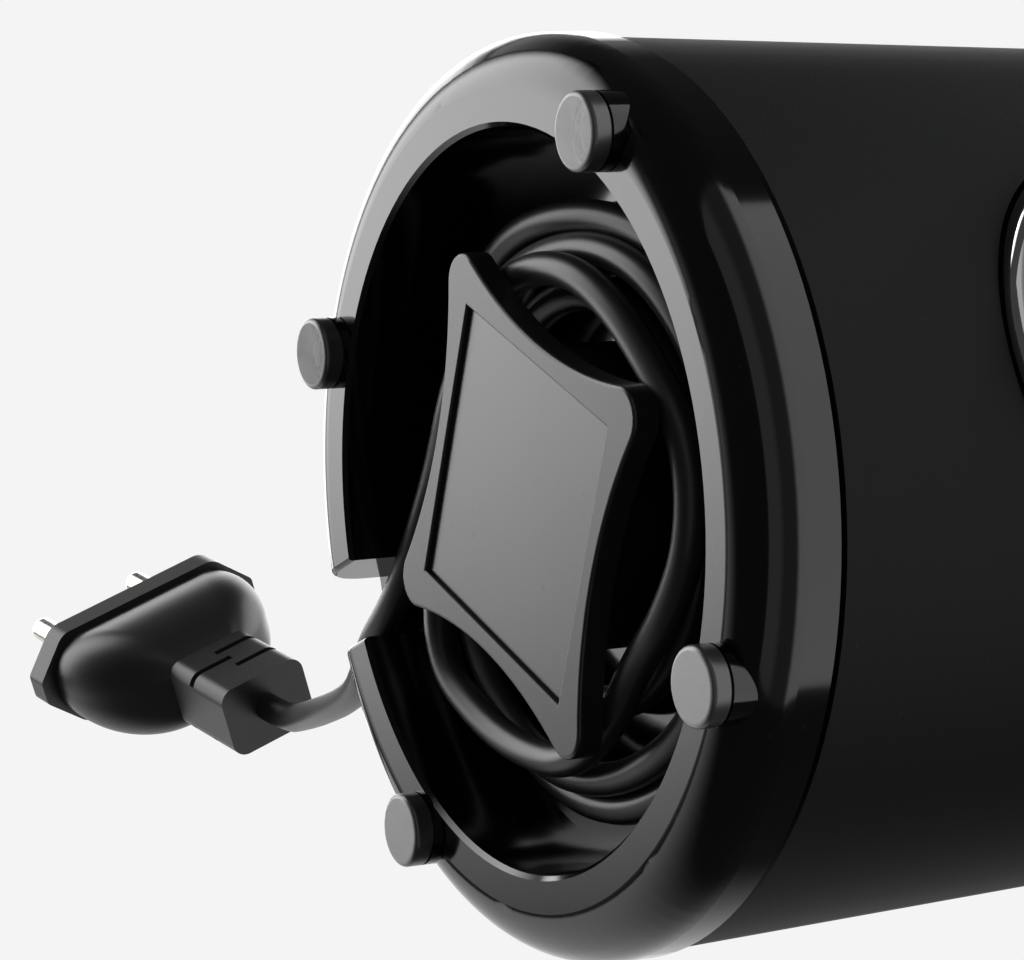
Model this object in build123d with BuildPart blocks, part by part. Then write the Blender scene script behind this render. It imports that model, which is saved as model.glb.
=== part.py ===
"""Motor base of a small tabletop mixer: it stands on four feet, and its flex winds up underneath."""

from build123d import *
from math import cos, degrees, pi, radians, sin, tan
import os

os.makedirs("parts", exist_ok=True)

# ---- Driving dimensions, in millimetres. Z is up, the feet stand on Z = 0, the knob faces -Y. ----

base_r = 60.0            # outside of the base ring
body_top_z = 128.0       # top of the body shell
body_taper = 1.8         # degrees that the body side leans in
wall = 2.5               # moulded wall

rim_z = 3.5              # underside of the base ring
outer_round = 7.0        # big round under the base ring
edge_round = 0.6         # small round on the mouth of the recess
seam_z = 15.0            # joint between base ring and body shell
shadow_gap = 0.4         # dark line at that joint
shadow_depth = 0.8
top_round = 8.0          # round at the top of the body shell
post_clearance = 0.4     # from the recess wall to the screw posts of the body shell
post_height = 16.0
vent_rows = 6
vent_pitch = 5.5
vent_length = 26.0
vent_slot = 2.4
vent_height = 32.0       # middle of the air slots above the joint
lip_height = 3.5         # locating lip inside the body shell
lip_t = 1.5
fit_gap = 0.15           # between two mouldings that locate each other
run_gap = 0.05           # radial running clearance on a turning shaft
move_gap = 0.5           # between a moving piece and a fixed one

recess_r = 48.1          # cord recess at its mouth
recess_draft_r = 0.4     # how much smaller the recess is at its floor
recess_floor_z = 20.0
air_slot_length = 12.0
air_slot_width = 2.6
air_slot_angles = (-24, -12, 0, 12, 24)
gap_width = 11.0         # slot in the base ring that lets the flex out
gap_top_z = 13.5

foot_r = 5.0
foot_height = 2.5
foot_neck = 0.4          # thin groove between the rubber and its boss
screw_pocket = 2.6       # above the foot stem, for the head of the case screw
stem_gap = 0.2
foot_edge = 0.4          # from the mouth of the recess to the foot
foot_angles = (50.5, 129.4, 228.8, 309.9)
foot_names = ("back_right", "back_left", "front_left", "front_right")

plate_z = 4.0            # outer face of the wrap plate
plate_t = 3.5
plate_corner_r = 41.0    # sharp corner before rounding
plate_corner_round = 4.0
plate_side_r = 22.0      # nearest point of the hollow sides
plate_turn = -3.35       # degrees
label_side = 38.6
label_recess = 1.0
label_edge = 0.3         # small round on the rim of the label recess
label_t = 0.3
hub_r = 20.0
hub_screw_x = 11.0

flex_d = 4.5
coil_inner_r = 22.0
coil_wall_gap = 4.7      # free space between the wound flex and the recess wall
coil_low_z = 8.4
coil_layers = 2
coil_round = 3.0
gland_x = -32.0
gland_wall = 1.75
floor_gap = 0.2          # plug above the surface that the feet stand on

knob_z = 70.0
bezel_r = 27.0
bezel_rim = 4.5
bezel_proud = 3.5
bezel_depth = 12.0       # behind the body surface
bezel_groove = 0.4       # dark groove round the bezel
knob_face = 8.0          # knob front, proud of the body surface
knob_dome = 4.0
knob_hollow_t = 2.2
grip_width = 8.0
grip_height = 6.0
mark_width = 1.8
mark_length = 7.0
mark_depth = 0.6
switch_side = 28.0
switch_depth = 12.0
bushing_r = 4.5
bushing_length = 8.0
nut_r = 7.0
nut_t = 2.2
shaft_socket = 4.0       # how far the knob shaft reaches into the switch
shaft_r = 3.0

seat_r = 42.0            # bore of the cup seat
seat_depth = 24.0        # from the body top to the underside of the seat floor
seat_flange_width = 9.0
seat_flange_t = 2.5
lug_reach = 3.0
lug_height = 4.0
lug_arc = 24.0
lug_angles = (45.0, 135.0, 225.0, 315.0)
lug_drop = 7.0           # from the body top to the lugs
hook_reach = 1.4
hook_height = 6.0
hook_arc = 10.0
collar_r = 9.5
collar_height = 5.0
gasket_inner_r = 24.0
gasket_outer_r = 30.0
gasket_t = 1.5

plunger_y = 35.0
plunger_r = 3.0
plunger_proud = 4.5
plunger_travel = 3.5
plunger_gap = 0.35       # round the plunger in its guide
plunger_collar_t = 1.8
plunger_stem = 7.0       # below the collar
spring_wire = 0.35
microswitch_width = 20.0
microswitch_depth = 8.0
microswitch_height = 9.0

stator_x = 62.0
stator_y = 56.0
stator_low_z = 56.0
stator_height = 28.0
stator_round = 12.0
armature_r = 16.5
armature_slots = 12
armature_slot_depth = 5.0
armature_slot_width = 2.2
winding_height = 4.0
air_gap = 0.8
field_coil_width = 34.0
field_coil_window = 24.0
field_coil_t = 5.0
field_coil_y = 21.5
field_coil_reach = 6.0    # past the end of the stator
field_slot_y = 12.0       # where the stator slots start
field_gap = 0.3           # between a field coil and its slot
bolt_x = 25.0
bolt_y = 22.0
bolt_r = 2.0
bracket_x = 66.0
bracket_y = 56.0
bracket_t = 2.5
bracket_window_y = 17.0
bracket_window_length = 26.0
bracket_window_width = 8.0
lower_bracket_z = 38.0
bearing_r = 8.0
bearing_height = 6.0
bearing_cup_floor = 1.0
mount_x = 26.0
mount_y = 10.0
mount_r = 5.0
mount_height = 8.0
commutator_r = 10.0
commutator_height = 9.0
commutator_gap = 0.35
brush_y = 5.0
brush_z = 6.0
brush_length = 13.0
brush_spring_r = 1.9
brush_spring_length = 6.0
holder_length = 18.0
fan_r = 23.0
fan_blades = 9
coupling_r = 12.0
coupling_height = 11.0
coupling_teeth = 6

plug_width = 42.0        # flange across its two points
plug_height = 17.0
plug_point = 4.0         # blunt end of each point
plug_shoulder_round = 3.5
plug_point_round = 1.4
plug_shoulder = 6.0      # from the point to the straight side of the flange
plug_flange_t = 4.5
plug_step = 1.2          # the body is this much smaller than the flange all round
plug_belly_width = 35.0
plug_belly_height = 18.8
plug_body_length = 22.5
relief_length = 17.0
relief_width = 15.5
relief_height = 12.0
relief_round = 2.5
relief_slot_z = (3.0, 6.4, 9.8)
relief_slot_length = 9.0
relief_slot_shift = 4.0
relief_slot_t = 1.3
relief_slot_depth = 1.7
pin_r = 2.0
pin_length = 19.0
pin_spacing = 19.0

screw_r = 1.6
screw_hole_r = 1.7
screw_head_r = 3.0
screw_head_t = 2.0

# ---- Worked out from the sizes above ----

foot_circle_r = recess_r + foot_edge + foot_r
seat_floor_z = body_top_z - seat_depth
upper_bracket_z = seat_floor_z - bearing_height - bearing_cup_floor
seat_flange_r = seat_r + seat_flange_width
bezel_bore_r = bezel_r - bezel_rim
shell_bottom_r = base_r - 0.6
shell_rise = body_top_z - seam_z
shell_top_r = shell_bottom_r - shell_rise * tan(radians(body_taper))
lip_r = shell_bottom_r - wall - fit_gap
floor_top_z = recess_floor_z + wall
recess_top_r = recess_r - recess_draft_r
post_r = foot_circle_r - recess_top_r - wall - post_clearance
boss_z = foot_height + foot_neck
hub_low_z = plate_z + plate_t
knob_body_r = shell_bottom_r - (knob_z - seam_z) * tan(radians(body_taper))
knob_plane = Plane(origin=(0, -knob_body_r, knob_z), x_dir=(1, 0, 0), z_dir=(0, -1, 0))
knob_r = bezel_bore_r - 0.7
seat_top_z = body_top_z + seat_flange_t
shell_mouth_r = seat_r + wall + fit_gap
stator_high_z = stator_low_z + stator_height
field_side = (field_coil_width - field_coil_window) / 2
field_side_x = (field_coil_width + field_coil_window) / 4
field_slot_end = field_coil_y + field_coil_t / 2 + field_gap
bearing_bore_r = shaft_r + run_gap
coil_outer_r = recess_top_r - coil_wall_gap
coil_high_z = coil_low_z + coil_layers * flex_d - 0.2
gland_low_z = coil_high_z
gland_r = flex_d / 2 + gland_wall
air_slot_r = recess_top_r - air_slot_length / 2 - 5.7
foot_places = [
    (foot_circle_r * cos(radians(angle)), foot_circle_r * sin(radians(angle))) for angle in foot_angles
]


def keep(builder, name):
    """Label a finished piece and write its STEP file."""
    builder.part.label = name
    export_step(builder.part, "parts/" + name + ".step")


def side_plane(angle):
    """Upright plane through the Z axis whose x direction points along the given angle."""
    turn = radians(angle)
    return Plane(origin=(0, 0, 0), x_dir=(cos(turn), sin(turn), 0), z_dir=(sin(turn), -cos(turn), 0))


# ---- Base ring with the cord recess ----

ring_round_r = base_r - outer_round
gap_block_arc = degrees((gap_width + 2 * wall) / ring_round_r)

with BuildPart() as base_housing:
    with BuildSketch(Plane.XZ):
        with BuildLine():
            Polyline(
                (0, floor_top_z),
                (0, recess_floor_z),
                (recess_top_r, recess_floor_z),
                (recess_r, rim_z + edge_round),
                (recess_r + edge_round, rim_z),
                (ring_round_r, rim_z),
            )
            RadiusArc((ring_round_r, rim_z), (base_r, rim_z + outer_round), -outer_round)
            Polyline(
                (base_r, rim_z + outer_round),
                (base_r, seam_z),
                (lip_r, seam_z),
                (lip_r, seam_z + lip_height),
                (lip_r - lip_t, seam_z + lip_height),
                (lip_r - lip_t, seam_z - wall),
                (base_r - wall, rim_z + outer_round),
            )
            RadiusArc(
                (base_r - wall, rim_z + outer_round),
                (ring_round_r, rim_z + wall),
                outer_round - wall,
            )
            Polyline(
                (ring_round_r, rim_z + wall),
                (recess_r + wall, rim_z + wall),
                (recess_top_r + wall, floor_top_z),
                (0, floor_top_z),
            )
        make_face()
    revolve(axis=Axis.Z)
    # solid ends each side of the slot for the flex
    with BuildSketch(side_plane(90 - gap_block_arc / 2)):
        with BuildLine():
            Polyline(
                (ring_round_r, rim_z + wall / 2),
                (recess_r + wall / 2, rim_z + wall / 2),
                (recess_r + wall / 2, seam_z),
                (base_r - wall / 2, seam_z),
                (base_r - wall / 2, rim_z + outer_round),
            )
            RadiusArc(
                (base_r - wall / 2, rim_z + outer_round),
                (ring_round_r, rim_z + wall / 2),
                outer_round - wall / 2,
            )
        make_face()
    revolve(axis=Axis.Z, revolution_arc=gap_block_arc)
    # foot bosses, with a pocket for the foot stem and the case screw
    with BuildSketch(Plane.XY.offset(boss_z)):
        with Locations(*foot_places):
            Circle(foot_r)
    extrude(amount=seam_z - boss_z)
    with BuildSketch(Plane.XY.offset(boss_z)):
        with Locations(*foot_places):
            Circle(screw_head_r + 2 * stem_gap)
    extrude(amount=foot_height + screw_pocket, mode=Mode.SUBTRACT)
    with BuildSketch(Plane.XY.offset(boss_z)):
        with Locations(*foot_places):
            Circle(screw_hole_r)
    extrude(amount=seam_z, mode=Mode.SUBTRACT)
    # notches in the lip for the screw posts of the body shell
    for foot_angle in foot_angles:
        with BuildSketch(Plane.XY.offset(seam_z).rotated((0, 0, foot_angle))):
            with Locations((lip_r, 0)):
                Rectangle(4 * lip_t, 2 * (post_r + move_gap))
        extrude(amount=lip_height + 1, mode=Mode.SUBTRACT)
    # posts for the motor mounts and bosses for the hub screws
    with BuildSketch(Plane.XY.offset(floor_top_z)):
        with GridLocations(2 * mount_x, 2 * mount_y, 2, 2):
            Circle(mount_r - 1)
        with GridLocations(2 * hub_screw_x, 1, 2, 1):
            Circle(2 * screw_r + 0.8)
    extrude(amount=lower_bracket_z - mount_height - floor_top_z)
    with BuildSketch(Plane.XY.offset(recess_floor_z)):
        with GridLocations(2 * hub_screw_x, 1, 2, 1):
            Circle(screw_hole_r)
        with Locations((gland_x, 0)):
            Circle(gland_r)
    extrude(amount=lower_bracket_z - recess_floor_z, mode=Mode.SUBTRACT)
    # air slots in the recess floor
    for middle_angle in (90, 270):
        for step_angle in air_slot_angles:
            with BuildSketch(Plane.XY.offset(recess_floor_z).rotated((0, 0, middle_angle + step_angle))):
                with Locations((air_slot_r, 0)):
                    SlotOverall(air_slot_length, air_slot_width)
            extrude(amount=wall, mode=Mode.SUBTRACT)
    # the slot that the flex leaves by
    with BuildSketch(Plane.XY.offset(rim_z - 1)):
        with Locations((0, (recess_r + base_r) / 2)):
            Rectangle(gap_width, base_r - recess_r + 10)
    extrude(amount=gap_top_z - rim_z + 1, mode=Mode.SUBTRACT)
    slot_ends = base_housing.edges().filter_by(Axis.Z).filter_by(
        lambda edge: abs(abs(edge.center().X) - gap_width / 2) < 0.01 and edge.center().Z < gap_top_z
    )
    fillet(slot_ends, edge_round)
keep(base_housing, "base_housing")

# ---- Body shell ----

# the ribs of the screw posts end inside the leaning wall
rib_reach_r = shell_bottom_r - wall / 2 - post_height * tan(radians(body_taper))

with BuildPart() as body_shell:
    with BuildSketch(Plane.XZ):
        with BuildLine():
            Polyline(
                (shell_bottom_r - wall, seam_z),
                (shell_bottom_r - shadow_depth, seam_z),
                (shell_bottom_r - shadow_depth, seam_z + shadow_gap),
                (shell_bottom_r, seam_z + shadow_gap),
                (shell_top_r, body_top_z),
                (shell_mouth_r, body_top_z),
                (shell_mouth_r, body_top_z - wall),
                (shell_top_r - wall, body_top_z - wall),
                (shell_bottom_r - wall, seam_z),
            )
        make_face()
    revolve(axis=Axis.Z)
    rings = body_shell.edges().filter_by(GeomType.CIRCLE)
    outer_edge = rings.group_by(Axis.Z)[-1].sort_by(SortBy.RADIUS)[-1]
    fillet(outer_edge, top_round)
    rings = body_shell.edges().filter_by(GeomType.CIRCLE)
    inner_edge = rings.filter_by(lambda edge: abs(edge.center().Z - body_top_z + wall) < 0.01)
    fillet(inner_edge.sort_by(SortBy.RADIUS)[-1], top_round - wall)
    # screw posts above the foot bosses
    for foot_angle in foot_angles:
        with BuildSketch(Plane.XY.offset(seam_z).rotated((0, 0, foot_angle))):
            with Locations((foot_circle_r, 0)):
                Circle(post_r)
            with Locations(((foot_circle_r + rib_reach_r) / 2, 0)):
                Rectangle(rib_reach_r - foot_circle_r, post_r)
        extrude(amount=post_height)
    with BuildSketch(Plane.XY.offset(seam_z)):
        with Locations(*foot_places):
            Circle(screw_hole_r)
    extrude(amount=post_height - 2, mode=Mode.SUBTRACT)
    # round opening for the knob bezel
    with BuildSketch(knob_plane.offset(bezel_proud + 10)):
        Circle(bezel_r + bezel_groove)
    extrude(amount=-(bezel_depth + bezel_proud + 10), mode=Mode.SUBTRACT)
    # air slots in the back
    with BuildSketch(Plane.XZ.offset(-base_r + 10)):
        with Locations((0, seam_z + vent_height)):
            with GridLocations(1, vent_pitch, 1, vent_rows):
                SlotOverall(vent_length, vent_slot)
    extrude(amount=-15, mode=Mode.SUBTRACT)
keep(body_shell, "body_shell")

# ---- Cup seat: the moulding in the top that the cup or jug locks into ----

with BuildPart() as cup_seat:
    with BuildSketch(Plane.XZ):
        with BuildLine():
            Polyline(
                (shaft_r + 4, seat_floor_z),
                (seat_r + wall, seat_floor_z),
                (seat_r + wall, body_top_z),
                (seat_flange_r, body_top_z),
                (seat_flange_r, seat_top_z),
                (seat_r, seat_top_z),
                (seat_r, seat_floor_z + wall),
                (collar_r, seat_floor_z + wall),
                (collar_r, seat_floor_z + collar_height),
                (shaft_r + 4, seat_floor_z + collar_height),
                (shaft_r + 4, seat_floor_z),
            )
        make_face()
    revolve(axis=Axis.Z)
    rings = cup_seat.edges().filter_by(GeomType.CIRCLE).group_by(Axis.Z)[-1]
    fillet(rings, 1.0)
    # locking lugs round the bore
    lug_low_z = body_top_z - lug_drop - lug_height
    for lug_angle in lug_angles:
        with BuildSketch(side_plane(lug_angle - lug_arc / 2)):
            with Locations((seat_r - lug_reach / 2 + 0.5, lug_low_z + lug_height / 2)):
                Rectangle(lug_reach + 1, lug_height)
        revolve(axis=Axis.Z, revolution_arc=lug_arc)
    # guide hole for the interlock plunger
    with BuildSketch(Plane.XY.offset(seat_floor_z)):
        with Locations((0, plunger_y)):
            Circle(plunger_r + plunger_gap)
    extrude(amount=wall, mode=Mode.SUBTRACT)
    # snap hooks that catch under the body shell
    hook_high_z = body_top_z - wall - 0.2
    for hook_angle in (0, 90, 180, 270):
        with BuildSketch(side_plane(hook_angle - hook_arc / 2)):
            with BuildLine():
                Polyline(
                    (seat_r + wall / 2, hook_high_z),
                    (shell_mouth_r + hook_reach, hook_high_z),
                    (seat_r + wall / 2, hook_high_z - hook_height),
                    (seat_r + wall / 2, hook_high_z),
                )
            make_face()
        revolve(axis=Axis.Z, revolution_arc=hook_arc)
keep(cup_seat, "cup_seat")

with BuildPart() as seat_gasket:
    with BuildSketch(Plane.XY.offset(seat_floor_z + wall)):
        Circle(gasket_outer_r)
        Circle(gasket_inner_r, mode=Mode.SUBTRACT)
    extrude(amount=gasket_t)
    fillet(seat_gasket.edges().group_by(Axis.Z)[-1], 0.5)
keep(seat_gasket, "seat_gasket")

with BuildPart() as coupling_seal:
    with BuildSketch(Plane.XY.offset(seat_floor_z + 0.5)):
        Circle(shaft_r + 4)
        Circle(bearing_bore_r, mode=Mode.SUBTRACT)
    extrude(amount=collar_height - 1)
keep(coupling_seal, "coupling_seal")

# ---- Hub, wrap plate and rating label under the base ----

with BuildPart() as cord_hub:
    with BuildSketch(Plane.XY.offset(hub_low_z)):
        Circle(hub_r)
    extrude(amount=recess_floor_z - hub_low_z)
    with BuildSketch(Plane.XY.offset(hub_low_z + wall)):
        Circle(hub_r - wall)
        with GridLocations(2 * hub_screw_x, 1, 2, 1):
            Circle(2 * screw_r + 0.8, mode=Mode.SUBTRACT)
    extrude(amount=recess_floor_z - hub_low_z - wall, mode=Mode.SUBTRACT)
    with BuildSketch(Plane.XY.offset(hub_low_z)):
        with GridLocations(2 * hub_screw_x, 1, 2, 1):
            Circle(screw_hole_r)
    extrude(amount=recess_floor_z - hub_low_z, mode=Mode.SUBTRACT)
keep(cord_hub, "cord_hub")

screw_seat_z = plate_z + label_recess + screw_head_t
side_bend = plate_side_r * cos(radians(45))

with BuildPart() as wrap_plate:
    with BuildSketch(Plane.XY.offset(plate_z).rotated((0, 0, plate_turn))):
        with BuildLine():
            ThreePointArc((plate_corner_r, 0), (side_bend, side_bend), (0, plate_corner_r))
            ThreePointArc((0, plate_corner_r), (-side_bend, side_bend), (-plate_corner_r, 0))
            ThreePointArc((-plate_corner_r, 0), (-side_bend, -side_bend), (0, -plate_corner_r))
            ThreePointArc((0, -plate_corner_r), (side_bend, -side_bend), (plate_corner_r, 0))
        plate_face = make_face()
        fillet(plate_face.vertices(), plate_corner_round)
    extrude(amount=plate_t)
    fillet(wrap_plate.edges().group_by(Axis.Z)[0], 0.5)
    with BuildSketch(Plane.XY.offset(plate_z).rotated((0, 0, plate_turn))):
        Rectangle(label_side, label_side, rotation=45)
    extrude(amount=label_recess, mode=Mode.SUBTRACT)
    recess_rim = wrap_plate.edges().filter_by(GeomType.LINE).group_by(Axis.Z)[0]
    fillet(recess_rim, label_edge)
    with BuildSketch(Plane.XY.offset(plate_z)):
        with GridLocations(2 * hub_screw_x, 1, 2, 1):
            Circle(screw_head_r + 0.3)
    extrude(amount=label_recess + screw_head_t, mode=Mode.SUBTRACT)
    with BuildSketch(Plane.XY.offset(plate_z)):
        with GridLocations(2 * hub_screw_x, 1, 2, 1):
            Circle(screw_hole_r)
    extrude(amount=plate_t, mode=Mode.SUBTRACT)
keep(wrap_plate, "wrap_plate")

with BuildPart() as rating_label:
    label_plane = Plane.XY.offset(plate_z + label_recess - label_t).rotated((0, 0, plate_turn))
    with BuildSketch(label_plane):
        Rectangle(label_side - 0.6, label_side - 0.6, rotation=45)
    extrude(amount=label_t)
keep(rating_label, "rating_label")

with BuildPart() as hub_screws:
    with BuildSketch(Plane.XY.offset(screw_seat_z - screw_head_t)):
        with GridLocations(2 * hub_screw_x, 1, 2, 1):
            Circle(screw_head_r)
    extrude(amount=screw_head_t)
    with BuildSketch(Plane.XY.offset(screw_seat_z)):
        with GridLocations(2 * hub_screw_x, 1, 2, 1):
            Circle(screw_r)
    extrude(amount=20)
keep(hub_screws, "hub_screws")

# ---- Feet and case screws ----

for foot_name, foot_place in zip(foot_names, foot_places):
    with BuildPart() as foot_pad:
        with BuildSketch(Plane.XY):
            with Locations(foot_place):
                Circle(foot_r)
        extrude(amount=foot_height)
        fillet(foot_pad.edges().group_by(Axis.Z)[0], 0.7)
        with BuildSketch(Plane.XY.offset(foot_height)):
            with Locations(foot_place):
                Circle(foot_r - 0.5)
        extrude(amount=foot_neck)
        with BuildSketch(Plane.XY.offset(boss_z)):
            with Locations(foot_place):
                Circle(screw_head_r + stem_gap)
        extrude(amount=foot_height)
    keep(foot_pad, "foot_" + foot_name)

case_screw_seat_z = boss_z + foot_height + screw_pocket

with BuildPart() as case_screws:
    with BuildSketch(Plane.XY.offset(case_screw_seat_z - screw_head_t)):
        with Locations(*foot_places):
            Circle(screw_head_r)
    extrude(amount=screw_head_t)
    with BuildSketch(Plane.XY.offset(case_screw_seat_z)):
        with Locations(*foot_places):
            Circle(screw_r)
    extrude(amount=18)
keep(case_screws, "case_screws")

# ---- Knob and rotary switch on the front ----

with BuildPart() as knob_bezel:
    with BuildSketch(knob_plane.offset(-bezel_depth)):
        Circle(bezel_r)
    extrude(amount=bezel_depth + bezel_proud)
    fillet(knob_bezel.edges().group_by(Axis.Y)[0], 2.4)
    with BuildSketch(knob_plane.offset(-bezel_depth + wall)):
        Circle(bezel_bore_r)
    extrude(amount=bezel_depth + bezel_proud, mode=Mode.SUBTRACT)
    with BuildSketch(knob_plane.offset(-bezel_depth)):
        Circle(bushing_r + fit_gap)
    extrude(amount=wall, mode=Mode.SUBTRACT)
keep(knob_bezel, "knob_bezel")

with BuildPart() as rotary_switch:
    with BuildSketch(knob_plane.offset(-bezel_depth - switch_depth)):
        RectangleRounded(switch_side, switch_side, 2)
    extrude(amount=switch_depth)
    with BuildSketch(knob_plane.offset(-bezel_depth)):
        Circle(bushing_r)
    extrude(amount=bushing_length)
    with BuildSketch(knob_plane.offset(-bezel_depth - shaft_socket)):
        Circle(shaft_r + run_gap)
    extrude(amount=bushing_length + shaft_socket, mode=Mode.SUBTRACT)
    with BuildSketch(knob_plane.offset(-bezel_depth - switch_depth)):
        with GridLocations(7, 10, 3, 2):
            Rectangle(1, 4)
    extrude(amount=-4)
keep(rotary_switch, "rotary_switch")

with BuildPart() as switch_nut:
    with BuildSketch(knob_plane.offset(-bezel_depth + wall)):
        RegularPolygon(nut_r, 6)
        Circle(bushing_r, mode=Mode.SUBTRACT)
    extrude(amount=nut_t)
keep(switch_nut, "switch_nut")

with BuildPart() as switch_shaft:
    with BuildSketch(knob_plane.offset(-bezel_depth - shaft_socket + move_gap)):
        Circle(shaft_r)
    extrude(amount=bezel_depth + shaft_socket - move_gap + knob_face - knob_hollow_t - 1)
keep(switch_shaft, "switch_shaft")

knob_back = -bezel_depth + wall + nut_t + 0.3
knob_bore_start = -bezel_depth + bushing_length + move_gap
with BuildPart() as speed_knob:
    with BuildSketch(knob_plane.offset(knob_back)):
        Circle(knob_r)
    extrude(amount=knob_face - knob_back)
    with BuildSketch(knob_plane.offset(knob_back)):
        Circle(knob_r - knob_hollow_t)
    extrude(amount=knob_face - knob_hollow_t - knob_back, mode=Mode.SUBTRACT)
    with BuildSketch(knob_plane.offset(knob_bore_start)):
        Circle(2 * shaft_r)
    extrude(amount=knob_face - knob_bore_start)
    with BuildSketch(knob_plane.offset(knob_bore_start)):
        Circle(shaft_r)
    extrude(amount=knob_face - knob_bore_start - knob_hollow_t - 1, mode=Mode.SUBTRACT)
keep(speed_knob, "speed_knob")

with BuildPart() as knob_cap:
    cap_side = Plane(origin=knob_plane.origin, x_dir=(1, 0, 0), z_dir=(0, 0, 1))
    with BuildSketch(cap_side):
        with BuildLine():
            Line((0, -knob_face), (knob_r, -knob_face))
            Line((knob_r, -knob_face), (knob_r, -knob_face - 1))
            ThreePointArc(
                (knob_r, -knob_face - 1),
                (knob_r * 0.6, -knob_face - knob_dome * 0.75),
                (0, -knob_face - knob_dome),
            )
            Line((0, -knob_face - knob_dome), (0, -knob_face))
        make_face()
    revolve(axis=Axis(knob_plane.origin, (0, 1, 0)))
    with BuildSketch(knob_plane.offset(knob_face)):
        Rectangle(grip_width + 0.2, 3 * knob_r)
    extrude(amount=knob_dome + 1, mode=Mode.SUBTRACT)
keep(knob_cap, "knob_cap")

with BuildPart() as knob_grip:
    with BuildSketch(knob_plane.offset(knob_face)):
        Circle(knob_r)
        Rectangle(grip_width, 3 * knob_r, mode=Mode.INTERSECT)
    extrude(amount=grip_height)
    fillet(knob_grip.edges().group_by(Axis.Y)[0], 1.5)
    with BuildSketch(knob_plane.offset(knob_face + grip_height)):
        with Locations((0, knob_r - mark_length + 1)):
            Rectangle(mark_width, mark_length)
    extrude(amount=-mark_depth, mode=Mode.SUBTRACT)
keep(knob_grip, "knob_grip")

with BuildPart() as knob_pointer:
    with BuildSketch(knob_plane.offset(knob_face + grip_height - mark_depth)):
        with Locations((0, knob_r - mark_length + 1)):
            Rectangle(mark_width - 0.2, mark_length - 0.2)
    extrude(amount=mark_depth)
keep(knob_pointer, "knob_pointer")

# ---- Interlock: a cup that is locked in pushes the plunger down onto a small switch ----

plunger_collar_z = seat_floor_z - 0.4
plunger_low_z = plunger_collar_z - plunger_stem
microswitch_top_z = plunger_low_z - plunger_travel - move_gap
spring_high_z = plunger_collar_z - plunger_collar_t

with BuildPart() as interlock_plunger:
    with BuildSketch(Plane.XY.offset(plunger_low_z)):
        with Locations((0, plunger_y)):
            Circle(plunger_r - 0.8)
    extrude(amount=spring_high_z - plunger_low_z)
    with BuildSketch(Plane.XY.offset(spring_high_z)):
        with Locations((0, plunger_y)):
            Circle(plunger_r + 1.6)
    extrude(amount=plunger_collar_z - spring_high_z)
    with BuildSketch(Plane.XY.offset(plunger_collar_z)):
        with Locations((0, plunger_y)):
            Circle(plunger_r)
    extrude(amount=seat_floor_z + wall + plunger_proud - plunger_collar_z)
    fillet(interlock_plunger.edges().group_by(Axis.Z)[-1], 1.2)
keep(interlock_plunger, "interlock_plunger")

with BuildPart() as plunger_spring:
    spring_r = plunger_r + 0.2
    with BuildLine() as spring_line:
        Helix(
            pitch=1.7,
            height=spring_high_z - microswitch_top_z - 2 * spring_wire - 0.1,
            radius=spring_r,
            center=(0, plunger_y, microswitch_top_z + spring_wire + 0.05),
        )
    with BuildSketch(Plane(spring_line.line @ 0, z_dir=spring_line.line % 0)):
        Circle(spring_wire)
    sweep()
keep(plunger_spring, "plunger_spring")

with BuildPart() as microswitch:
    with BuildSketch(Plane.XY.offset(microswitch_top_z - microswitch_height)):
        with Locations((0, plunger_y)):
            Rectangle(microswitch_width, microswitch_depth)
    extrude(amount=microswitch_height)
keep(microswitch, "microswitch")

with BuildPart() as interlock_bracket:
    bracket_low_z = microswitch_top_z - microswitch_height - wall
    bracket_span = microswitch_width + 2 * fit_gap
    with BuildSketch(Plane.XZ.offset(-plunger_y - microswitch_depth / 2)):
        with Locations((0, (bracket_low_z + seat_floor_z) / 2)):
            Rectangle(bracket_span + 2 * wall, seat_floor_z - bracket_low_z)
        with Locations((0, (bracket_low_z + wall + seat_floor_z) / 2)):
            Rectangle(bracket_span, seat_floor_z - bracket_low_z - wall, mode=Mode.SUBTRACT)
    extrude(amount=microswitch_depth)
keep(interlock_bracket, "interlock_bracket")

# ---- Motor frame ----

with BuildPart() as stator_core:
    with BuildSketch(Plane.XY.offset(stator_low_z)):
        RectangleRounded(stator_x, stator_y, stator_round)
        Circle(armature_r + air_gap, mode=Mode.SUBTRACT)
        with GridLocations(2 * field_side_x, field_slot_y + field_slot_end, 2, 2):
            Rectangle(field_side + 2 * field_gap, field_slot_end - field_slot_y, mode=Mode.SUBTRACT)
        with GridLocations(2 * bolt_x, 2 * bolt_y, 2, 2):
            Circle(bolt_r + fit_gap, mode=Mode.SUBTRACT)
    extrude(amount=stator_height)
keep(stator_core, "stator_core")

for coil_name, coil_side in (("field_coil_front", -1), ("field_coil_back", 1)):
    with BuildPart() as field_coil:
        with BuildSketch(Plane.XZ.offset(-coil_side * field_coil_y - field_coil_t / 2)):
            with Locations((0, stator_low_z + stator_height / 2)):
                RectangleRounded(field_coil_width, stator_height + 2 * field_coil_reach, 3)
                RectangleRounded(field_coil_window, stator_height + 2, 0.8, mode=Mode.SUBTRACT)
        extrude(amount=field_coil_t)
    keep(field_coil, coil_name)

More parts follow.
